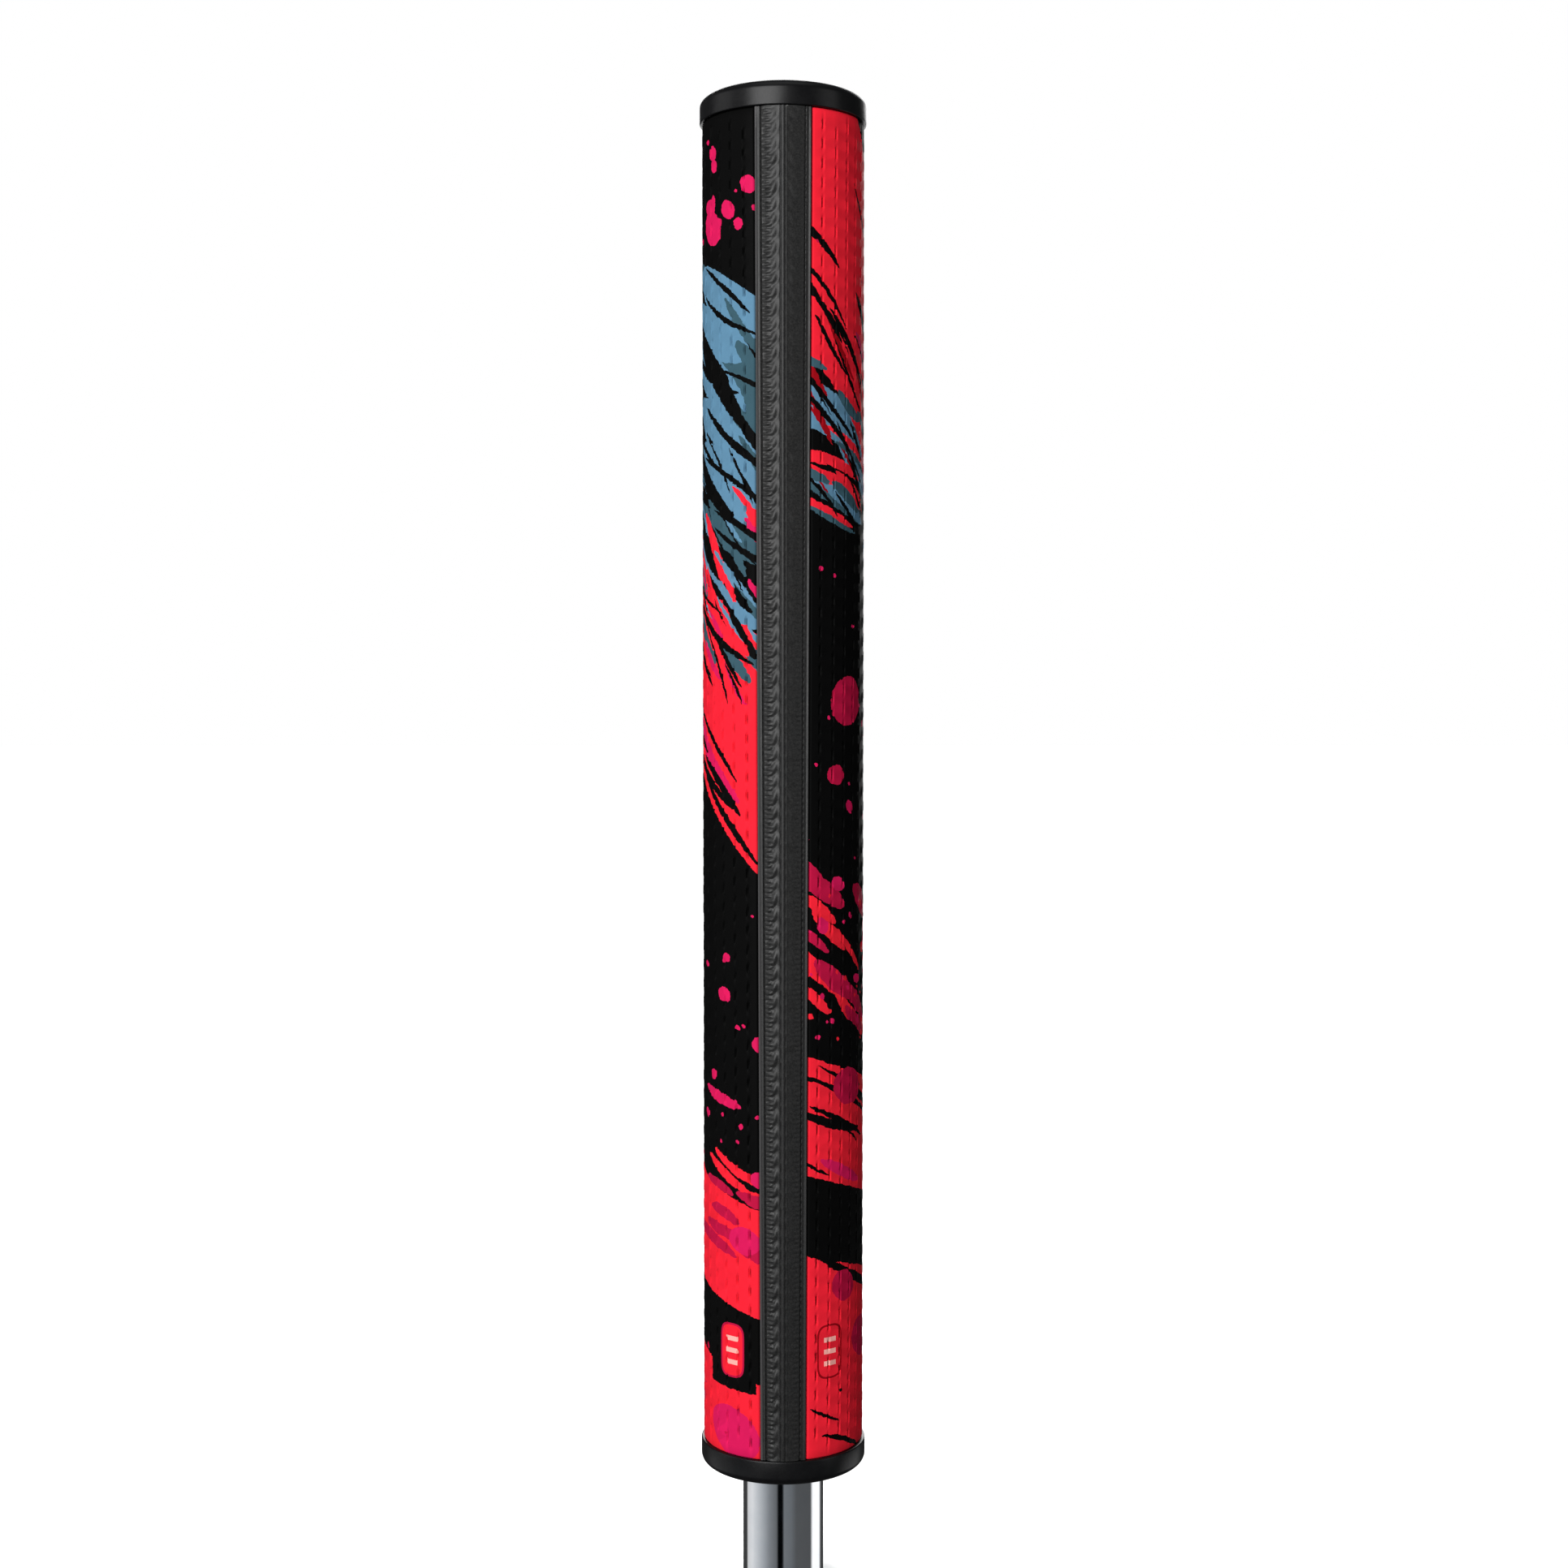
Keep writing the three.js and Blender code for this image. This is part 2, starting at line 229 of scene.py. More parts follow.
def make_floor():
    """A plain white floor at the shaft's cut end. It takes shadows and throws no light back."""
    half = 6.0
    z = tube_low.z * MM
    mesh = bpy.data.meshes.new("floor")
    corners = [(-half, -half, z), (half, -half, z), (half, half, z), (-half, half, z)]
    mesh.from_pydata(corners, [], [(0, 1, 2, 3)])
    floor = bpy.data.objects.new("floor", mesh)
    paint = Paint("floor_paint", {"Roughness": 0.9, "Specular IOR Level": 0.0})
    paint.shader.inputs["Base Color"].default_value = (0.93, 0.93, 0.93, 1)
    mesh.materials.append(paint.material)
    floor.visible_diffuse = False
    floor.visible_glossy = False
    bpy.context.scene.collection.objects.link(floor)
    only_floor = bpy.data.collections.new("only_floor")
    only_floor.objects.link(floor)
    sun = bpy.data.lights.new("floor_light", "SUN")
    sun.energy = 3.3
    sun.angle = math.radians(30)
    lamp = bpy.data.objects.new("floor_light", sun)
    lamp.light_linking.receiver_collection = only_floor
    bpy.context.scene.collection.objects.link(lamp)


# ---- Node painting ----


class Nodes:
    """A node tree under construction. Each method adds a node and returns its output."""

    def __init__(self, tree):
        self.tree = tree

    def feed(self, socket, value):
        if isinstance(value, bpy.types.NodeSocket):
            self.tree.links.new(value, socket)
        elif value is not None:
            socket.default_value = value

    def add(self, kind, inputs=None, **settings):
        node = self.tree.nodes.new("ShaderNode" + kind)
        for key, value in settings.items():
            setattr(node, key, value)
        for socket, value in (inputs or {}).items():
            self.feed(node.inputs[socket], value)
        return node

    def math(self, operation, a, b=None, c=None):
        return self.add("Math", {0: a, 1: b, 2: c}, operation=operation).outputs[0]

    def vector(self, operation, a, b=None, c=None, out="Vector"):
        return self.add("VectorMath", {0: a, 1: b, 2: c}, operation=operation).outputs[out]

    def scaled(self, vector, factor):
        node = self.add("VectorMath", {0: vector}, operation="SCALE")
        self.feed(node.inputs["Scale"], factor)
        return node.outputs["Vector"]

    def mix(self, share, a, b):
        node = self.add("Mix", data_type="RGBA")
        self.feed(node.inputs["Factor"], share)
        self.feed(node.inputs["A"], self.colour(a))
        self.feed(node.inputs["B"], self.colour(b))
        return node.outputs["Result"]

    @staticmethod
    def colour(value):
        return (*value, 1.0) if isinstance(value, tuple) and len(value) == 3 else value

    def between(self, value, low, high, to_low=0.0, to_high=1.0):
        inputs = {"Value": value, "From Min": low, "From Max": high}
        inputs |= {"To Min": to_low, "To Max": to_high}
        return self.add("MapRange", inputs).outputs[0]

    def noise(self, place, scale, detail=2.0, roughness=0.5, out="Fac"):
        inputs = {"Vector": place, "Scale": scale, "Detail": detail, "Roughness": roughness}
        return self.add("TexNoise", inputs).outputs[out]

    def cells(self, place, scale, feature="F1", out="Distance"):
        inputs = {"Vector": place, "Scale": scale}
        return self.add("TexVoronoi", inputs, feature=feature).outputs[out]

    def object_mm(self):
        """Object coordinates in millimetres."""
        return self.scaled(self.add("TexCoord").outputs["Object"], 1 / MM)

    def bump(self, height, strength, distance=0.05):
        inputs = {"Strength": strength, "Distance": distance * MM, "Height": height}
        return self.add("Bump", inputs).outputs[0]


class Paint(Nodes):
    """A material under construction."""

    def __init__(self, name, fixed=None):
        self.material = bpy.data.materials.new(name)
        self.material.use_nodes = True
        super().__init__(self.material.node_tree)
        self.shader = self.tree.nodes["Principled BSDF"]
        for socket, value in (fixed or {}).items():
            self.shader.inputs[socket].default_value = value

    def use(self, socket, value):
        self.feed(self.shader.inputs[socket], self.colour(value))


def srgb(r, g, b):
    """A linear colour from 0-255 screen values."""
    return tuple((v / 255 / 12.92) if v <= 10 else ((v / 255 + 0.055) / 1.055) ** 2.4 for v in (r, g, b))


# ---- The print ----

RED = srgb(243, 36, 54)
DEEP_RED = srgb(150, 10, 22)
MAGENTA = srgb(214, 26, 88)
PLUM = srgb(186, 20, 64)
BLUE = srgb(92, 134, 162)
TEAL = srgb(58, 88, 100)
BLACK = srgb(8, 8, 8)
PALE = srgb(255, 178, 168)

# The print is one flat sheet. Its two edges meet under the spine strip, its middle is the thumb side.
# Places on it are millimetres: distance round the body from that middle, positive towards +X, and
# height. It is an abstract of slanted brushwork and splatter over black.
SHEET_HALF = math.pi * BODY_RADIUS


def brushes(count, across, upright, length, half_width, turn, bend=0.12):
    """Brush strokes spread evenly up an area of the sheet, all leaning about the same way."""
    shapes = []
    for i in range(count):
        u = random.uniform(*across)
        z = upright[0] + (i + random.uniform(0.2, 0.8)) / count * (upright[1] - upright[0])
        lean = math.radians(turn + random.uniform(-7, 7))
        reach = random.uniform(*length) / 2
        run = (reach * math.cos(lean), reach * math.sin(lean))
        ends = (u - run[0], z - run[1]), (u + run[0], z + run[1])
        shapes.append(("stroke", *ends, random.uniform(*half_width), random.uniform(-bend, bend)))
    return shapes


def drops(count, across, upright, largest):
    """Splatter: many small drops and a few large ones."""
    shapes = []
    for _ in range(count):
        place = (random.uniform(*across), random.uniform(*upright))
        radius = 0.3 + (largest - 0.3) * random.uniform(0, 1) ** 3
        shapes.append(("blob", place, (radius * 1.15, radius * 0.9), random.uniform(5, 85)))
    return shapes


def swash(left, right, colour):
    """A band right across the sheet, from its low and high edge on the left to those on the right."""
    reach = SHEET_HALF + 1
    corners = (-reach, left[0]), (reach, right[0]), (reach, right[1]), (-reach, left[1])
    return (colour, [("block", *corners)])


def badge(u, z, rim, face):
    """A small badge with three plain bars in it."""
    bars = [("bar", (u, z + 2.2 * i), (1.35, 0.45)) for i in (-1, 0, 1)]
    return [
        (rim, [("pill", (u, z), (2.8, 5.05))]),
        (face, [("pill", (u, z), (2.45, 4.7))]),
        (PALE, bars),
    ]


def print_layers():
    """The layers of ink in the order that they are laid down: a colour and its shapes."""
    left, right, all_round = (-45, -22), (22, 45), (-45, 45)
    return [
        (TEAL, brushes(7, (-40, -28), (176, 246), (26, 40), (2.6, 4.0), 28)),
        (BLUE, brushes(9, (-40, -26), (172, 248), (24, 36), (2.8, 4.4), 32)),
        (TEAL, brushes(5, (24, 38), (204, 238), (18, 28), (1.4, 2.4), 24)),
        (BLUE, brushes(6, (24, 42), (203, 238), (16, 26), (1.4, 2.6), 28)),
        (BLUE, brushes(7, (-16, 22), (170, 232), (24, 40), (1.8, 3.4), 30)),
        swash((131, 166), (238, 300), RED),
        swash((54, 74), (84, 106), RED),
        swash((20, 42), (20, 69), RED),
        (MAGENTA, brushes(6, (-40, 30), (136, 250), (16, 30), (1.0, 2.0), 48)),
        (RED, brushes(10, right, (106, 140), (7, 15), (0.5, 1.5), 40)),
        (PLUM, brushes(8, right, (108, 142), (6, 14), (0.6, 1.9), 38)),
        (RED, brushes(8, right, (203, 216), (8, 16), (0.5, 1.1), 22)),
        (RED, brushes(7, left, (74, 84), (10, 22), (0.4, 0.9), 24)),
        (PLUM, brushes(6, left, (66, 80), (8, 16), (0.8, 1.9), 18)),
        (MAGENTA, brushes(5, all_round, (60, 100), (10, 18), (0.9, 1.8), 22)),
        (TEAL, brushes(12, left, (172, 240), (8, 18), (0.5, 1.4), 52)),
        (BLACK, brushes(7, (-44, -26), (178, 240), (12, 22), (0.9, 1.9), 50)),
        (RED, brushes(9, left, (172, 206), (7, 15), (0.4, 1.2), 58)),
        (MAGENTA, brushes(6, left, (170, 200), (6, 12), (0.4, 1.0), 54)),
        (BLUE, brushes(10, left, (176, 222), (5, 13), (0.2, 0.5), 56)),
        (BLACK, brushes(14, left, (176, 246), (14, 30), (0.3, 0.75), 34)),
        (BLACK, brushes(14, left, (170, 215), (8, 18), (0.2, 0.5), 58)),
        (BLACK, brushes(7, (-20, 20), (134, 232), (26, 44), (0.5, 1.1), 46)),
        (DEEP_RED, brushes(12, right, (206, 240), (6, 14), (0.25, 0.7), 56)),
        (TEAL, brushes(8, right, (200, 232), (7, 15), (0.4, 1.1), 30)),
        (BLACK, brushes(16, right, (200, 242), (8, 18), (0.2, 0.55), 50)),
        (BLACK, brushes(6, right, (222, 262), (12, 26), (0.35, 0.9), 46)),
        (BLACK, brushes(6, left, (134, 166), (12, 26), (0.3, 0.8), 46)),
        (BLACK, brushes(9, right, (84, 110), (8, 18), (0.25, 0.7), 28)),
        (BLACK, brushes(5, all_round, (88, 104), (14, 26), (0.4, 0.9), 20)),
        (BLACK, brushes(5, all_round, (56, 66), (16, 28), (0.7, 1.3), 20)),
        (BLACK, brushes(6, all_round, (30, 46), (6, 12), (0.25, 0.6), 24)),
        (PLUM, [
            ("blob", (33.5, 169), (4.3, 4.6), 25),
            ("blob", (36.6, 155.5), (2.0, 1.8), 0),
            ("blob", (33, 98), (4.2, 3.4), 15),
            ("blob", (34.4, 61), (3.2, 2.8), 40),
            ("blob", (27.5, 50), (4.5, 3.8), 20),
        ]),
        (MAGENTA, [
            ("blob", (-37, 34), (6.2, 4.4), 30),
            ("blob", (-39.6, 70), (3.4, 2.5), 15),
            ("blob", (-31.4, 255), (3.4, 2.6), 60),
            ("blob", (4, 118), (6.0, 4.6), 25),
            ("blob", (-12, 256), (4.4, 3.6), 40),
        ]),
        (MAGENTA, drops(16, left, (252, 273), 1.7)),
        (MAGENTA, drops(26, left, (78, 130), 1.7)),
        (PLUM, drops(9, left, (32, 50), 1.1)),
        (MAGENTA, drops(13, right, (143, 202), 1.5)),
        (RED, drops(26, right, (104, 134), 1.3)),
        (MAGENTA, drops(26, right, (104, 146), 1.5)),
        (PLUM, drops(6, right, (235, 272), 1.0)),
        (MAGENTA, drops(14, (-20, 20), (84, 132), 2.4)),
        (BLACK, drops(8, all_round, (31, 44), 0.9)),
        (BLACK, [("block", (-42, 41.6), (-31, 42.6), (-31, 56.4), (-42, 54.4))]),
    ]


def badge_layers():
    """The layers of ink of the two badges beside the strip."""
    return badge(-36.8, 49.3, PLUM, RED) + badge(37.9, 49.3, DEEP_RED, RED)


class Layer(Nodes):
    """One layer of ink as a node group. It takes a place, (distance, height, 1), and the ink under it."""

    def __init__(self, name, colour, shapes):
        super().__init__(bpy.data.node_groups.new(name, "ShaderNodeTree"))
        sockets = self.tree.interface
        sockets.new_socket("Place", in_out="INPUT", socket_type="NodeSocketVector")
        sockets.new_socket("Under", in_out="INPUT", socket_type="NodeSocketColor")
        sockets.new_socket("Ink", in_out="OUTPUT", socket_type="NodeSocketColor")
        given = self.tree.nodes.new("NodeGroupInput")
        self.at = given.outputs["Place"]
        mask = None
        for kind, *facts in shapes:
            shape = getattr(self, kind)(*facts)
            mask = shape if mask is None else self.math("MAXIMUM", mask, shape)
        ink = self.mix(mask, given.outputs["Under"], colour)
        self.tree.links.new(ink, self.tree.nodes.new("NodeGroupOutput").inputs["Ink"])

    def along(self, a, b, c):
        """a times the distance, b times the height and c, added up."""
        return self.vector("DOT_PRODUCT", self.at, (a, b, c), out="Value")

    def local(self, centre, size, turn):
        """The place as two coordinates that reach 1 at the shape's half sizes."""
        cos, sin = math.cos(math.radians(turn)), math.sin(math.radians(turn))
        x, y = centre
        wide = (cos / size[0], sin / size[0], -(cos * x + sin * y) / size[0])
        tall = (-sin / size[1], cos / size[1], (sin * x - cos * y) / size[1])
        return self.along(*wide), self.along(*tall)

    def blob(self, centre, size, turn):
        """A drop: an ellipse at a turn in degrees."""
        x, y = self.local(centre, size, turn)
        return self.math("LESS_THAN", self.math("MULTIPLY_ADD", y, y, self.math("MULTIPLY", x, x)), 1.0)

    def stroke(self, start, end, half_width, bend):
        """A brush stroke that swells in the middle. The bend is a share of its half length."""
        run = (end[0] - start[0], end[1] - start[1])
        centre = ((start[0] + end[0]) / 2, (start[1] + end[1]) / 2)
        half_length = math.hypot(*run) / 2
        x, y = self.local(centre, (half_length, half_width), math.degrees(math.atan2(run[1], run[0])))
        square = self.math("MULTIPLY", x, x)
        if bend:
            lift = bend * half_length / half_width
            y = self.math("MULTIPLY_ADD", square, lift, self.math("SUBTRACT", y, lift))
        return self.math("LESS_THAN", self.math("MULTIPLY_ADD", y, y, square), 1.0)

    def pill(self, centre, size):
        """An upright rounded badge."""
        x, y = self.local(centre, size, 0)
        wide = self.math("POWER", self.math("ABSOLUTE", x), 3.0)
        tall = self.math("POWER", self.math("ABSOLUTE", y), 6.0)
        return self.math("LESS_THAN", self.math("ADD", wide, tall), 1.0)

    def bar(self, centre, size):
        """A short bar with square ends."""
        x, y = self.local(centre, size, 0)
        reach = self.math("MAXIMUM", self.math("ABSOLUTE", x), self.math("ABSOLUTE", y))
        return self.math("LESS_THAN", reach, 1.0)

    def block(self, *corners):
        """A filled area between corners, anticlockwise."""
        worst = None
        for (x0, y0), (x1, y1) in zip(corners, corners[1:] + corners[:1]):
            a, b = y1 - y0, x0 - x1
            side = self.along(a, b, -(a * x0 + b * y0))
            worst = side if worst is None else self.math("MAXIMUM", worst, side)
        return self.math("LESS_THAN", worst, 0.0)


class Print(Paint):
    """The wrap's ink, layer over layer."""

    def start(self):
        """The bare ink, and each point's place on the flat sheet."""
        self.ink = BLACK
        axes = self.add("SeparateXYZ", {0: self.add("TexCoord").outputs["Object"]})
        height = self.math("MULTIPLY", axes.outputs["Z"], 1 / MM)
        turn = self.math("ARCTAN2", axes.outputs["X"], axes.outputs["Y"])
        distance = self.math("MULTIPLY", turn, BODY_RADIUS)
        self.flat = self.add("CombineXYZ", {0: distance, 1: height, 2: 1.0}).outputs[0]

    def brushed(self):
        """Distance along the skin and height, with edges that wander as a brush's do."""
        wander = self.noise(self.flat, 0.9, 3.0, 0.6, "Color")
        centred = self.vector("SUBTRACT", wander, (0.5, 0.5, 0.5))
        return self.vector("MULTIPLY_ADD", centred, (0.9, 0.9, 0.0), self.flat)

    def paint(self, name, layers, at):
        """Lays layers of ink on what is there, at places taken from a socket."""
        for number, (colour, shapes) in enumerate(layers):
            node = self.add("Group", node_tree=Layer(f"{name}_{number}", colour, shapes).tree)
            self.feed(node.inputs["Place"], at)
            self.feed(node.inputs["Under"], self.colour(self.ink))
            self.ink = node.outputs["Ink"]


def printed_skin():
    p = Print("printed_skin", {"Specular IOR Level": 0.025})
    p.start()
    p.paint("ink", print_layers(), p.brushed())
    p.paint("badge_ink", badge_layers(), p.flat)
    mottle = p.noise(p.flat, 0.35, 4.0, 0.6)
    ink = p.mix(p.between(mottle, 0.3, 0.75, 0.0, 0.10), p.ink, BLACK)
    # Painted shade and highlight: the ink is darkened towards black in the dash grooves, where Pointiness
    # is low, and lightened a little on the raised lips beside them.
    pointiness_for_painted_light = p.add("NewGeometry").outputs["Pointiness"]
    ink = p.mix(p.between(pointiness_for_painted_light, 0.42, 0.485, 0.75, 0.0), ink, BLACK)
    p.use("Base Color", p.scaled(ink, p.between(pointiness_for_painted_light, 0.51, 0.56, 1.0, 1.12)))
    grain = p.noise(p.object_mm(), 7.0, 3.0, 0.6)
    p.use("Roughness", p.between(grain, 0.3, 0.7, 0.46, 0.62))
    p.use("Normal", p.bump(grain, 0.35, 0.02))
    return p.material


# ---- The other materials ----


def strip_rubber():
    """Satin rubber. Its edge beads are painted in two tones: pale on the left as a painted highlight, dark
    on the right as painted shade.
    """
    p = Paint("strip_rubber", {"Specular IOR Level": 0.3})
    fine = p.object_mm()
    axes = p.add("SeparateXYZ", {0: fine})
    slope = (STRIP_HALF_TOP - STRIP_HALF_BOTTOM) / (strip_high.z - strip_low.z)
    half = p.math("MULTIPLY_ADD", axes.outputs["Z"], slope, STRIP_HALF_BOTTOM - slope * strip_low.z)
    inward = p.math("SUBTRACT", half, p.math("ABSOLUTE", axes.outputs["X"]))
    bead = p.between(inward, 0.36, 0.46, 1.0, 0.0)
    grain = p.noise(fine, 3.6, 4.0, 0.7)
    wear = p.noise(fine, 0.5, 3.0, 0.6)
    speckle = p.between(grain, 0.42, 0.68)
    base = p.mix(speckle, (0.0085, 0.0085, 0.0085), (0.030, 0.029, 0.028))
    base = p.mix(p.math("MULTIPLY", wear, 0.6), base, (0.016, 0.0165, 0.017))
    # Painted light: the left bead is painted pale as a painted highlight of the light from the left, and
    # the right bead dark as painted shade.
    on_left = p.math("LESS_THAN", axes.outputs["X"], 0.0)
    bead_painted_lit_and_shaded = p.mix(on_left, (0.016, 0.0155, 0.0155), (0.06, 0.058, 0.059))
    p.use("Base Color", p.mix(bead, base, bead_painted_lit_and_shaded))
    p.use("Roughness", p.between(p.math("ADD", grain, wear), 0.7, 1.3, 0.34, 0.50))
    p.use("Normal", p.bump(grain, 0.4, 0.05))
    return p.material


def cap_rubber():
    p = Paint("cap_rubber", {"Specular IOR Level": 0.22})
    fine = p.object_mm()
    grain = p.noise(fine, 5.0, 4.0, 0.65)
    dust = p.noise(fine, 0.5, 3.0, 0.6)
    dark, light = (0.0035, 0.0035, 0.004), (0.0065, 0.0065, 0.007)
    p.use("Base Color", p.mix(p.between(dust, 0.35, 0.75), dark, light))
    p.use("Roughness", p.between(grain, 0.3, 0.7, 0.27, 0.38))
    p.use("Normal", p.bump(grain, 0.3, 0.025))
    return p.material


def chromed_steel():
    p = Paint("chromed_steel", {"Metallic": 1.0})
    fine = p.object_mm()
    smear = p.noise(fine, 0.25, 3.0, 0.6)
    stretched = p.vector("MULTIPLY", fine, (14.0, 14.0, 0.25))
    lines = p.noise(stretched, 1.0, 3.0, 0.6)
    p.use("Base Color", p.mix(p.between(smear, 0.3, 0.7), (0.86, 0.87, 0.89), (0.80, 0.82, 0.85)))
    p.use("Roughness", p.between(p.math("ADD", smear, lines), 0.7, 1.3, 0.04, 0.10))
    p.use("Normal", p.bump(lines, 0.04, 0.01))
    return p.material


def moulded_nylon(name, dark, light):
    p = Paint(name, {"Specular IOR Level": 0.5})
    fine = p.object_mm()
    grain = p.noise(fine, 8.0, 3.0, 0.55)
    fibre = p.noise(p.vector("MULTIPLY", fine, (3.0, 0.6, 0.6)), 2.0, 3.0, 0.6)
    p.use("Base Color", p.mix(p.between(fibre, 0.3, 0.7), dark, light))
    p.use("Roughness", p.between(grain, 0.3, 0.7, 0.36, 0.52))
    p.use("Normal", p.bump(grain, 0.4, 0.02))
    return p.material


def seal_rubber():
    p = Paint("seal_rubber", {"Specular IOR Level": 0.5})
    fine = p.object_mm()
    haze = p.noise(fine, 3.0, 3.0, 0.6)
    p.use("Base Color", p.mix(haze, (0.006, 0.006, 0.007), (0.016, 0.016, 0.017)))
    p.use("Roughness", p.between(haze, 0.3, 0.7, 0.3, 0.45))
    p.use("Normal", p.bump(haze, 0.2, 0.01))
    return p.material


def closed_cell_foam():
    p = Paint("closed_cell_foam", {"Specular IOR Level": 0.2})
    fine = p.object_mm()
    cell = p.cells(fine, 3.2)
    p.use("Base Color", p.mix(p.between(cell, 0.1, 0.7), (0.012, 0.012, 0.013), (0.035, 0.035, 0.037)))
    p.use("Roughness", p.between(cell, 0.0, 0.8, 0.98, 0.8))
    p.use("Normal", p.bump(cell, 0.8, 0.12))
    return p.material


def backing_cloth():
    p = Paint("backing_cloth", {"Specular IOR Level": 0.1})
    fine = p.object_mm()
    warp = p.noise(p.vector("MULTIPLY", fine, (6.0, 6.0, 0.8)), 1.0, 4.0, 0.7)
    weft = p.noise(p.vector("MULTIPLY", fine, (0.8, 0.8, 6.0)), 1.0, 4.0, 0.7)
    felt = p.math("MAXIMUM", warp, weft)
    p.use("Base Color", p.mix(p.between(felt, 0.35, 0.75), (0.17, 0.17, 0.165), (0.34, 0.34, 0.33)))
    p.use("Roughness", p.between(felt, 0.3, 0.8, 0.98, 0.82))
    p.use("Normal", p.bump(felt, 0.8, 0.08))
    return p.material


def crepe_tape():
    p = Paint("crepe_tape", {"Specular IOR Level": 0.2})
    fine = p.object_mm()
    ridges = p.noise(p.vector("MULTIPLY", fine, (1.2, 1.2, 9.0)), 1.0, 3.0, 0.6)
    p.use("Base Color", p.mix(p.between(ridges, 0.3, 0.7), (0.55, 0.49, 0.32), (0.70, 0.64, 0.47)))
    p.use("Roughness", p.between(ridges, 0.3, 0.7, 0.75, 0.9))
    p.use("Normal", p.bump(ridges, 0.6, 0.04))
    return p.material


# ---- Shapes ----

CORNER_Y = FLAT_DEPTH - CORNER_RADIUS
CORNER_X = math.sqrt((BODY_RADIUS - CORNER_RADIUS) ** 2 - CORNER_Y**2)
CORNER_TURN = math.atan2(CORNER_Y, CORNER_X)
ARC_END = BODY_RADIUS * (CORNER_TURN + math.pi / 2)
CORNER_END = ARC_END + CORNER_RADIUS * (math.pi / 2 - CORNER_TURN)
HALF_ROUND = CORNER_END + CORNER_X


def section(s, offset=0.0):
    """Points of the body's outline, moved out by an offset, at distances s along it.

    s counts from the middle of the back, to the right up to HALF_ROUND and back round the left.
    """
    s = np.asarray(s, float)
    side = np.where(s > HALF_ROUND, -1.0, 1.0) * np.where(s < 0, -1.0, 1.0)
    s = np.where(s > HALF_ROUND, 2 * HALF_ROUND - s, np.abs(s))
    on_arc = np.minimum(s, ARC_END) / BODY_RADIUS - math.pi / 2
    in_corner = (np.clip(s, ARC_END, CORNER_END) - ARC_END) / CORNER_RADIUS
    turn = on_arc + in_corner
    along_flat = np.maximum(s - CORNER_END, 0)
    cornered = s > ARC_END
    centre_x = np.where(cornered, CORNER_X, 0.0)
    centre_y = np.where(cornered, CORNER_Y, 0.0)
    radius = np.where(cornered, CORNER_RADIUS, BODY_RADIUS) + offset
    x = centre_x + radius * np.cos(turn) - along_flat
    y = centre_y + radius * np.sin(turn)
    return np.stack([side * x, y], -1)


def eased(t):
    t = np.clip(t, 0, 1)
    return t * t * (3 - 2 * t)


def add_piece(name, rings, close_ends, material, body, nodes, crease=38.0):
    """A closed solid through rings of points, in millimetres, each anticlockwise seen from above.

    With close_ends the first and last ring are filled, and without it they are joined together.
    """
    rings = np.asarray(rings, float) * MM
    count, around_count = rings.shape[:2]
    corner = np.arange(count * around_count).reshape(count, around_count)
    steps = count - 1 if close_ends else count
    faces = []
    for k in range(steps):
        low, high = corner[k], corner[(k + 1) % count]
        after_low, after_high = np.roll(low, -1), np.roll(high, -1)
        faces += np.stack([low, after_low, after_high, high], -1).tolist()
    if close_ends:
        faces += [corner[0][::-1].tolist(), corner[-1].tolist()]
    mesh = bpy.data.meshes.new(name)
    mesh.from_pydata(rings.reshape(-1, 3).tolist(), [], faces)
    return add_mesh(name, mesh, material, body, nodes, crease)


def add_mesh(name, mesh, material, body, nodes, crease):
    finish_mesh(mesh, crease)
    mesh.materials.append(material)
    piece = bpy.data.objects.new(name, mesh)
    bpy.context.scene.collection.objects.link(piece)
    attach(piece, body)
    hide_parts(*nodes)
    return piece


def finish_mesh(mesh, crease):
    """Merges doubled points, faces the mesh outwards, and keeps its edges above an angle sharp."""
    made = bmesh.new()
    made.from_mesh(mesh)
    bmesh.ops.remove_doubles(made, verts=made.verts, dist=1e-7)
    bmesh.ops.dissolve_degenerate(made, edges=made.edges, dist=1e-8)
    bmesh.ops.recalc_face_normals(made, faces=made.faces)
    for edge in made.edges:
        edge.smooth = edge.calc_face_angle(0.0) < math.radians(crease)
    for face in made.faces:
        face.smooth = True
    made.to_mesh(mesh)
    made.free()


def strip_half(z):
    """Half the spine strip's width at a height."""
    share = (z - strip_low.z) / (strip_high.z - strip_low.z)
    return STRIP_HALF_BOTTOM + (STRIP_HALF_TOP - STRIP_HALF_BOTTOM) * share


# ---- The printed skin ----

DASH_PITCH = 3.5
DASH_DEPTH = 0.45
# Across a dash, from its middle outward: distance, and depth as a share of the dash's own.
DASH_HALF = [(0.0, 1.0), (0.15, 0.85), (0.31, -0.12), (0.55, 0.0)]
DASH_ACROSS = [(-step, groove) for step, groove in DASH_HALF[:0:-1]] + DASH_HALF
COLUMNS = 30
LIP = 0.45
LIP_STEPS = [0.0, 0.04, 0.13, 0.27, 0.45]
END_STEPS = [0.0, 0.04, 0.12, 0.25]
END_DROP = 0.2
DASH_END = 0.17
UNEVEN = 0.6
CROWDING = 0.20
INNER_COLUMNS = 48


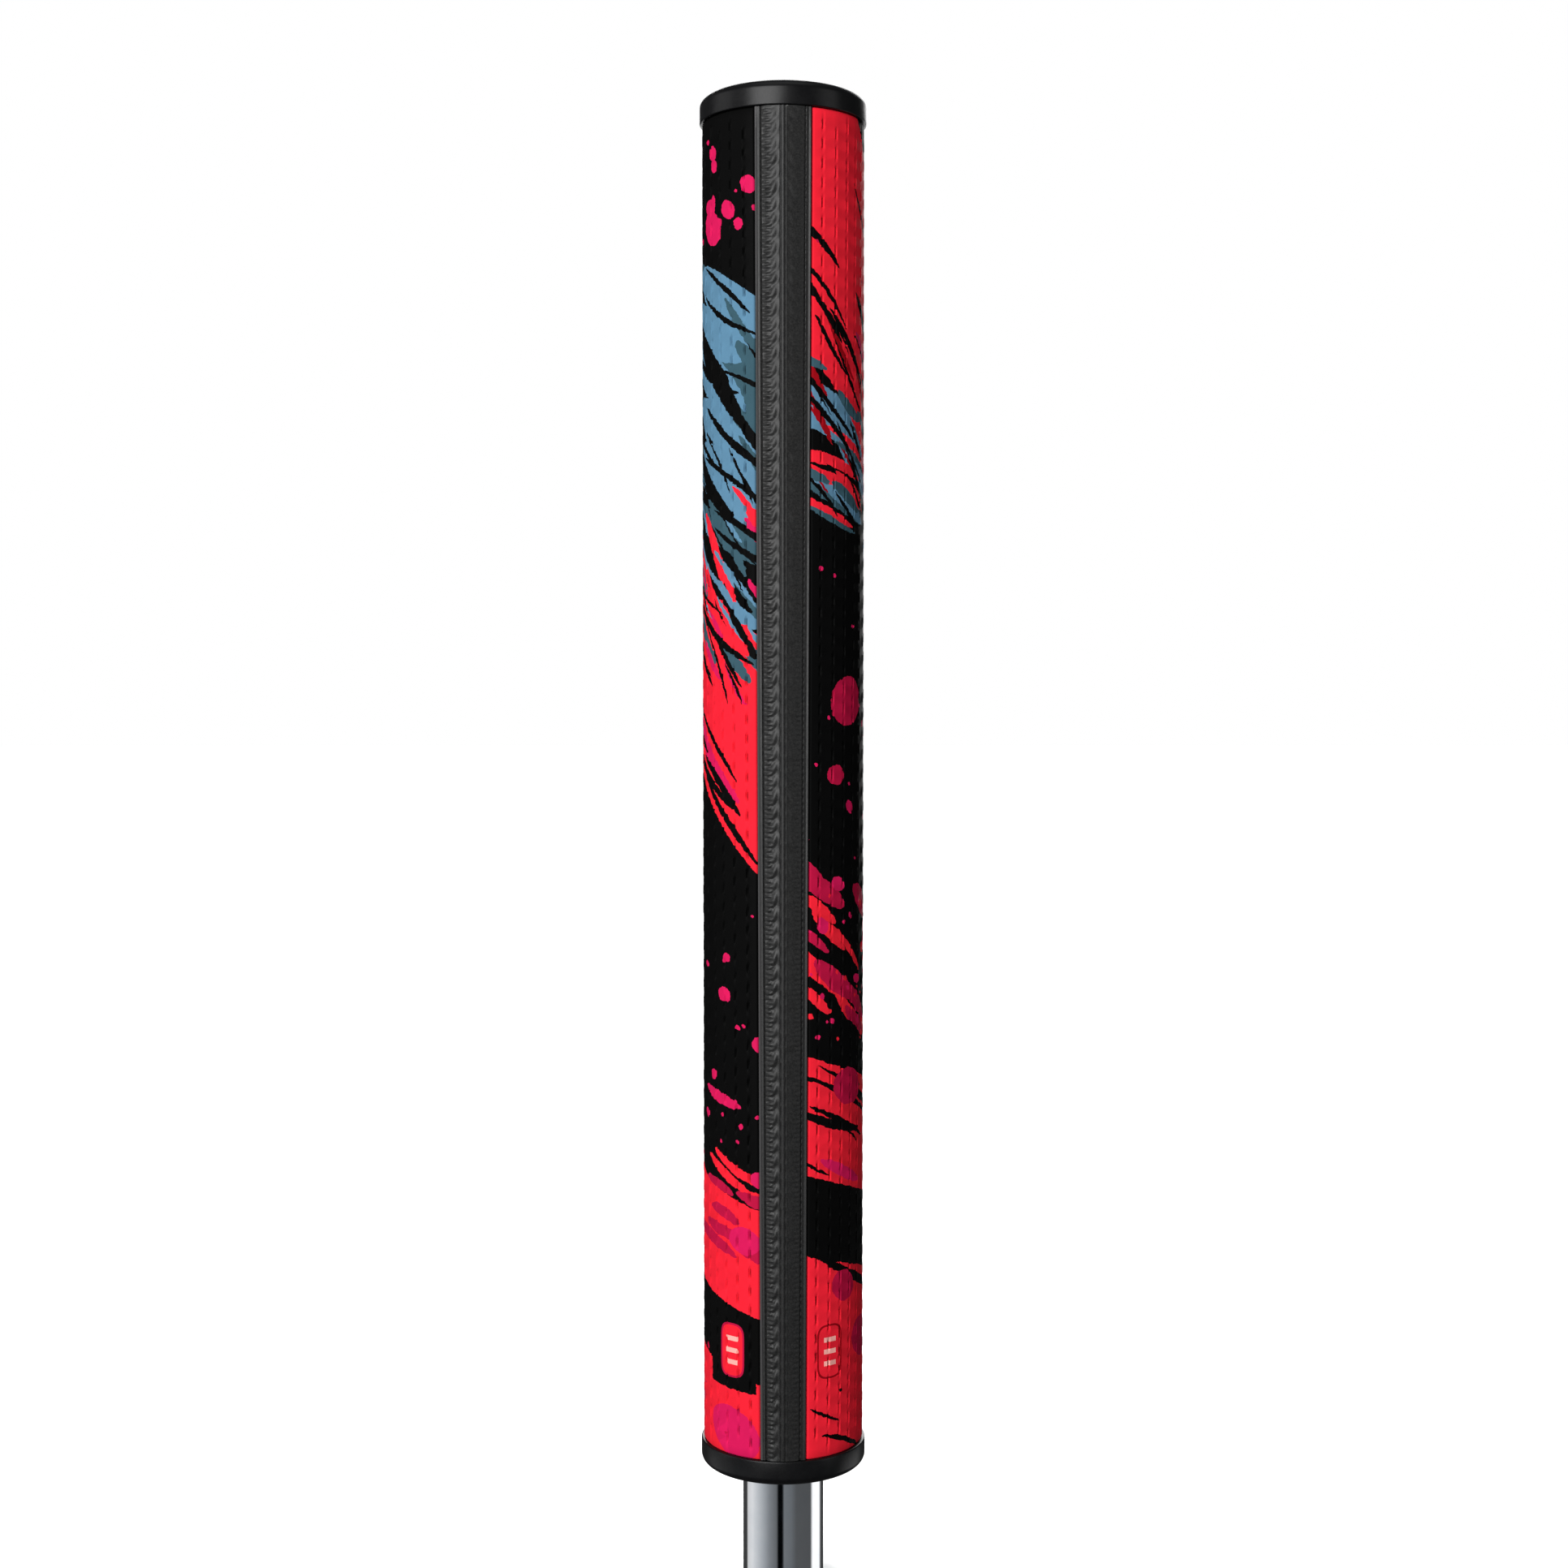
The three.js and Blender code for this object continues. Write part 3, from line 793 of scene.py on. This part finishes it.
def skin_rows(low, high):
    """Heights of the grid's rows, and for each the share of a dash in even and in odd columns."""
    pitches = int((high - low) // DASH_PITCH) - 1
    margin = (high - low - pitches * DASH_PITCH) / 2
    rows = [(low + step, 0, 0) for step in END_STEPS]
    for k in range(2 * pitches + 1):
        z = low + margin + k * DASH_PITCH / 2
        before = (k % 2 == 0, k % 2 == 1) if k else (0, 0)
        after = (k % 2 == 1, k % 2 == 0) if k < 2 * pitches else (0, 0)
        rows.append((z - DASH_END, *before))
        rows.append((z + DASH_END, *after))
        if k < 2 * pitches:
            rows.append((z + DASH_PITCH / 4, *after))
    return rows + [(low + high - z, 0, 0) for z, _, _ in rows[len(END_STEPS) - 1 :: -1]]


def outer_skin():
    """The printed wrap: staggered columns of short grooves, and a rounded lip along each cut edge."""
    low, high = skin_low.z, skin_high.z
    rows = skin_rows(low, high)
    shift = random.uniform(-UNEVEN, UNEVEN, COLUMNS)
    depth = random.uniform(0.7, 1.15, (COLUMNS, len(rows) // 6 + 2))
    outer = []
    for k, (z, even, odd) in enumerate(rows):
        from_end = min(z - low, high - z)
        drop = END_DROP * (1 - eased(from_end / END_STEPS[-1]))
        fade = eased((from_end - 0.3) / 6)
        start, length = cut_edges(z)
        crowd = CROWDING * (z - (low + high) / 2) / ((high - low) / 2)
        points = [(start + d, LIP - math.sqrt(LIP**2 - (LIP - d) ** 2), 0) for d in LIP_STEPS]
        for column in range(COLUMNS):
            share = (column + 0.72) / (COLUMNS + 0.44)
            share += crowd * share * (share - 0.5) * (share - 1)
            dash = (odd if column % 2 else even) * DASH_DEPTH * depth[column, k // 6]
            lift = shift[column] * fade
            points += [(start + length * share + step, dash * groove, lift) for step, groove in DASH_ACROSS]
        points += [(2 * start + length - s, inset, 0) for s, inset, _ in points[len(LIP_STEPS) - 1 :: -1]]
        s, inset, lift = np.array(points).T
        outer.append(np.column_stack([section_each(s, -inset - drop), z + lift]))
    inner = []
    for z in (low, high):
        start, length = cut_edges(z)
        s = np.linspace(start, start + length, INNER_COLUMNS)
        inner.append(np.column_stack([section(s, -SKIN_THICKNESS), np.full(len(s), z)]))
    return add_sheet("printed_wrap", np.array(outer), inner)


def cut_edges(z):
    """Where the skin starts beside the strip at a height, and its length from there round the body."""
    half = strip_half(z) + GAP
    start = BODY_RADIUS * math.asin(half / BODY_RADIUS)
    return start, 2 * (HALF_ROUND - start)


def add_sheet(name, outer, inner):
    """The skin as a closed solid: a fine outer grid, and a plain inner wall between two edge lines."""
    rows, columns = outer.shape[:2]
    grid = np.arange(rows * columns).reshape(rows, columns)
    low = rows * columns + np.arange(len(inner[0]))
    high = low + len(inner[0])
    squares = np.stack([grid[:-1, :-1], grid[:-1, 1:], grid[1:, 1:], grid[1:, :-1]], -1)
    faces = squares.reshape(-1, 4).tolist()
    faces += np.stack([low[1:], low[:-1], high[:-1], high[1:]], -1).tolist()
    faces.append(grid[0, ::-1].tolist() + low.tolist())
    faces.append(grid[-1].tolist() + high[::-1].tolist())
    faces.append([low[0]] + grid[:, 0].tolist() + [high[0]])
    faces.append([high[-1]] + grid[::-1, -1].tolist() + [low[-1]])
    points = np.concatenate([outer.reshape(-1, 3), *inner]) * MM
    mesh = bpy.data.meshes.new(name)
    mesh.from_pydata(points.tolist(), [], faces)
    return add_mesh(name, mesh, printed_skin(), "grip", ["outer_skin"], 60.0)


def section_each(s, offset):
    """Like section, with an offset for each point."""
    base, moved = section(s, 0.0), section(s, 1.0)
    return base + (moved - base) * np.asarray(offset)[:, None]


# ---- The spine strip ----

RIB_PITCH = 2.65
RIB_ROWS = 18
RIB_SLANT = 1.1
RIB_HEIGHT = 0.42
RUNG_HEIGHT = 0.32
RIGHT_RELIEF = 0.35
RUNGS_PER_RIB = 3
RUNG_SHARE = 0.55
PIT_DEPTH = 0.14
DIMPLE_DEPTH = 0.10
FACET_SINK = 0.16
SHOULDER_RADIUS = 15.05
# From the edge inward: distance from the edge and radius.
STRIP_RIM = [
    (0.0, 14.9),
    (0.02, 15.06),
    (0.09, 15.2),
    (0.2, 15.27),
    (0.32, 15.22),
    (0.42, 15.12),
    (0.6, 15.1),
    (0.88, 15.13),
    (0.97, 14.99),
    (1.08, 14.93),
    (1.19, 14.99),
    (1.28, 15.14),
]
STRIP_PITTED = slice(8, 11)
# From the middle outward: distance from the middle and radius.
STRIP_MIDDLE = [
    (0.0, 15.8),
    (0.14, 15.78),
    (0.27, 15.7),
    (0.36, 15.6),
    (0.46, 15.56),
    (0.56, 15.6),
    (0.66, 15.7),
]
FACET_STEPS = 9
FACET_OUTER = 15.16
FACET_INNER = 15.71


def ridge(t):
    """A rounded ridge with a sharp valley where t is whole."""
    return abs(math.sin(math.pi * t))


def pick(heights, t):
    """A ridge's own height, so that no two look alike."""
    return heights[int(math.floor(t)) % len(heights)]


def strip_side(z, heights, relief):
    """Half of the strip's outline at a height: distances from its edge and radii."""
    half = strip_half(z)
    points = list(STRIP_RIM)
    facet_start, facet_end = STRIP_RIM[-1][0], half - STRIP_MIDDLE[-1][0]
    t = z / RIB_PITCH
    pit = ridge(2 * t + 0.25) * PIT_DEPTH
    points[STRIP_PITTED] = [(d, r - pit) for d, r in points[STRIP_PITTED]]
    for i in range(1, FACET_STEPS):
        share = i / FACET_STEPS
        d = facet_start + (facet_end - facet_start) * share
        radius = FACET_OUTER + (FACET_INNER - FACET_OUTER) * share
        slanted = t - RIB_SLANT * (d - facet_start) / RIB_PITCH + 0.08 * math.sin(1.7 * t)
        rung = RUNGS_PER_RIB * t + 0.2 * math.sin(0.9 * t)
        rib_lift = ridge(slanted) * RIB_HEIGHT * pick(heights, slanted)
        rung_lift = ridge(rung) * RUNG_HEIGHT * pick(heights, rung + 40)
        outer = eased((RUNG_SHARE - share) / 0.2)
        edge = min(1.0, 5 * share, 3 * (1 - share))
        lift = outer * rung_lift + (1 - 0.75 * outer) * rib_lift
        points.append((d, radius - FACET_SINK * relief + edge * lift * relief))
    dimple = DIMPLE_DEPTH * ridge(t)
    for x, radius in STRIP_MIDDLE[:0:-1]:
        points.append((half - x, radius - (dimple if 0.3 < x < 0.6 else 0.0)))
    return points


def strip_ring(z, heights, end):
    """The strip's section at a height, with pits, rungs and slanted ribs that are worn low on the right."""
    half = strip_half(z)
    left, right = [], []
    for side, relief, line in ((-1, 1.0, left), (1, RIGHT_RELIEF, right)):
        for d, radius in strip_side(z, heights, relief):
            x = half - d
            radius -= max(0.0, radius - SHOULDER_RADIUS) * end
            line.append((side * x, -math.sqrt(radius**2 - x**2), z))
    right.reverse()
    crest = STRIP_CREST - (STRIP_CREST - SHOULDER_RADIUS) * end
    inner = BODY_RADIUS - SKIN_THICKNESS
    base = [(u * half, -math.sqrt(inner**2 - (u * half) ** 2), z) for u in (1, 0.5, 0, -0.5, -1)]
    return left + [(0.0, -crest, z)] + right + base


def spine_strip():
    low, high = strip_low.z, strip_high.z
    rows = int((high - low) / RIB_PITCH * RIB_ROWS)
    heights = random.uniform(0.65, 1.05, 61)
    rings = []
    for z in np.linspace(low, high, rows + 1):
        near = min(z - low, high - z)
        end = STRIP_END_DROP / (STRIP_CREST - BODY_RADIUS) * (1 - min(1.0, near / STRIP_END))
        rings.append(strip_ring(z, heights, end))
    name, slot = "spine_strip_moulding", "strip_rubber"
    return add_piece(name, rings, True, strip_rubber(), "grip", ["spine_strip"], 50.0)


# ---- Cap, mouth ring and shaft ----

BAND_POINTS = 220
LIP_RADIUS = 0.25


def around_rings(profile):
    """Rings from a profile of ("outline", offset, height) and ("circle", radius, height)."""
    s = np.linspace(0, 2 * HALF_ROUND, BAND_POINTS, endpoint=False)
    rings = []
    for kind, size, z in profile:
        if kind == "outline":
            flat = section(s, size)
        else:
            flat = section(s)
            flat = size * flat / np.linalg.norm(flat, axis=1)[:, None]
        rings.append(np.column_stack([flat, np.full(len(s), z)]))
    return rings


def band_profile(lip, end, shoulder):
    """The outside of a band that stands proud, from its rounded lip to its shoulder's end."""
    up = 1 if end > lip else -1
    profile = []
    for a in np.linspace(0, math.pi / 2, 5):
        offset = RIM - LIP_RADIUS * (1 - math.sin(a))
        profile.append(("outline", offset, lip + up * LIP_RADIUS * (1 - math.cos(a))))
    inward, along = shoulder
    for a in np.linspace(0, math.pi / 2, 15):
        profile.append(("outline", RIM - inward * (1 - math.cos(a)), end - up * along * (1 - math.sin(a))))
    return profile


def butt_cap():
    lip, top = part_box("outer_skin")[1].z / MM + GAP, cap_high.z
    bore, depth = COUNTERBORE
    profile = band_profile(lip, top, CAP_SHOULDER)
    profile += [("circle", bore + 0.25, top), ("circle", bore + 0.07, top - 0.07)]
    profile += [("circle", bore, top - 0.25), ("circle", bore, top - depth)]
    neck = cap_low.z
    profile += [("circle", INSERT_BORE, top - depth), ("circle", INSERT_BORE, neck + NECK_FLOOR)]
    profile += [("circle", VENT_RADIUS, neck + NECK_FLOOR), ("circle", VENT_RADIUS, neck)]
    profile += [("circle", NECK_RADIUS, neck), ("circle", NECK_RADIUS, top - CAP_PLATE)]
    profile += [("outline", -CORE_INSET, top - CAP_PLATE), ("outline", -CORE_INSET, lip)]
    rings = around_rings(profile)
    return add_piece("cap_moulding", rings, False, cap_rubber(), "grip", ["butt_cap"])


def mouth_ring(material):
    lip, bottom = ring_high.z, ring_low.z
    bore = TUBE_RADIUS + GAP
    profile = band_profile(lip, bottom, RING_SHOULDER)
    profile += [("circle", bore + 0.2, bottom), ("circle", bore, bottom + 0.2)]
    profile += [("circle", bore, bottom + RING_FLOOR), ("outline", -CORE_INSET, bottom + RING_FLOOR)]
    profile += [("outline", -CORE_INSET, lip)]
    rings = around_rings(profile)
    return add_piece("mouth_moulding", rings, False, material, "grip", ["mouth_ring"])


def shaft():
    bottom, top = tube_low.z, tube_high.z
    bore = TUBE_RADIUS - TUBE_WALL
    chamfer = 0.15
    profile = [(TUBE_RADIUS - chamfer, bottom), (TUBE_RADIUS, bottom + chamfer)]
    profile += [(TUBE_RADIUS, top - chamfer), (TUBE_RADIUS - chamfer, top)]
    profile += [(bore + chamfer, top), (bore, top - chamfer)]
    profile += [(bore, bottom + chamfer), (bore + chamfer, bottom)]
    rings = [circle_ring(radius, z, 160) for radius, z in profile]
    material = chromed_steel()
    return add_piece("chromed_shaft", rings, False, material, "grip", ["shaft_tube"])


def circle_ring(radius, z, count):
    a = np.linspace(0, 2 * math.pi, count, endpoint=False)
    radius = np.broadcast_to(radius, a.shape)
    return np.column_stack([radius * np.cos(a), radius * np.sin(a), np.full(count, z)])


# ---- Port plug and seal ----


def thread_radius(a, z):
    """Radius of a right-hand thread's surface at an angle and a height."""
    along = np.mod(z - PITCH * a / (2 * math.pi) + PITCH / 2, PITCH) - PITCH / 2
    flank = (np.abs(along) - THREAD_FLAT / 2) / THREAD_FLANK
    return THREAD_CREST - THREAD_DEPTH * np.clip(flank, 0, 1)


def port_plug():
    count = 96
    top, bottom = plug_high.z, plug_low.z
    head, head_height, neck, neck_height = plug_high.x, 1.0, 4.6, 0.9
    a = np.linspace(0, 2 * math.pi, count, endpoint=False)
    thread_top = top - head_height - neck_height
    rings = [circle_ring(THREAD_CREST - THREAD_DEPTH - 0.3, bottom, count)]
    for z in np.arange(bottom + 0.02, thread_top, 0.1):
        lead = THREAD_CREST - THREAD_DEPTH + (z - bottom)
        ring = circle_ring(np.minimum(thread_radius(a, z), lead), z, count)
        rings.append(ring)
    rings += [circle_ring(neck, thread_top, count), circle_ring(neck, top - head_height, count)]
    rings.append(circle_ring(head - 0.15, top - head_height, count))
    rings.append(circle_ring(head, top - head_height + 0.15, count))
    for t in np.linspace(0, math.pi / 2, 5):
        rings.append(circle_ring(head - 0.25 * (1 - math.cos(t)), top - 0.25 * (1 - math.sin(t)), count))
    material = moulded_nylon("plug_nylon", (0.010, 0.010, 0.011), (0.020, 0.020, 0.022))
    plug = add_piece("screw_plug", rings, True, material, "plug", ["port_plug"], 30.0)
    cut_coin_slot(plug, top)
    return plug


def cut_coin_slot(plug, top):
    """Cuts the slot for a coin across the plug's head, with a bowed floor."""
    half_length, half_width, depth = 5.0, 0.65, 0.7
    outline = []
    for x in np.linspace(-half_length, half_length, 17):
        outline.append((x, top - depth * (1 - 0.35 * (x / half_length) ** 2)))
    outline += [(half_length, top + 1), (-half_length, top + 1)]
    count = len(outline)
    points = [(x * MM, side * half_width * MM, z * MM) for side in (-1, 1) for x, z in outline]
    faces = [tuple(range(count)), tuple(range(2 * count - 1, count - 1, -1))]
    faces += [(i, i + count, (i + 1) % count + count, (i + 1) % count) for i in range(count)]
    mesh = bpy.data.meshes.new("slot_cutter")
    mesh.from_pydata(points, [], faces)
    cutter = bpy.data.objects.new("slot_cutter", mesh)
    bpy.context.scene.collection.objects.link(cutter)
    cut = plug.modifiers.new("coin_slot", "BOOLEAN")
    cut.operation = "DIFFERENCE"
    cut.solver = "EXACT"
    cut.object = cutter
    bpy.context.view_layer.update()
    solved = plug.evaluated_get(bpy.context.evaluated_depsgraph_get())
    cut_mesh = bpy.data.meshes.new_from_object(solved)
    plug.modifiers.clear()
    finish_mesh(cut_mesh, 30.0)
    plug.data = cut_mesh
    bpy.data.objects.remove(cutter)


def plug_seal():
    section_radius = (seal_high.z - seal_low.z) / 2
    middle = (seal_high.z + seal_low.z) / 2
    radius = seal_high.x - section_radius
    rings = []
    for b in np.linspace(0, 2 * math.pi, 24, endpoint=False):
        reach, rise = section_radius * math.cos(b), section_radius * math.sin(b)
        rings.append(circle_ring(radius + reach, middle + rise, 96))
    return add_piece("seal_ring", rings, False, seal_rubber(), "seal", ["plug_seal"])


# ---- CAD nodes that stay ----


def dress(node, material):
    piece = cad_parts[node]
    piece.data.materials.clear()
    piece.data.materials.append(material)


bpy.context.scene.view_settings.view_transform = "Standard"
make_camera()
make_world()
make_lights()
make_mirrored_room()
make_floor()

outer_skin()
spine_strip()
cap = butt_cap()
mouth_ring(cap.data.materials[0])
shaft()
port_plug()
plug_seal()
dress("foam_core", closed_cell_foam())
dress("textile_backing", backing_cloth())
dress("grip_tape", crepe_tape())
insert_nylon = moulded_nylon("insert_nylon", (0.020, 0.020, 0.022), (0.034, 0.034, 0.036))
dress("port_insert", insert_nylon)
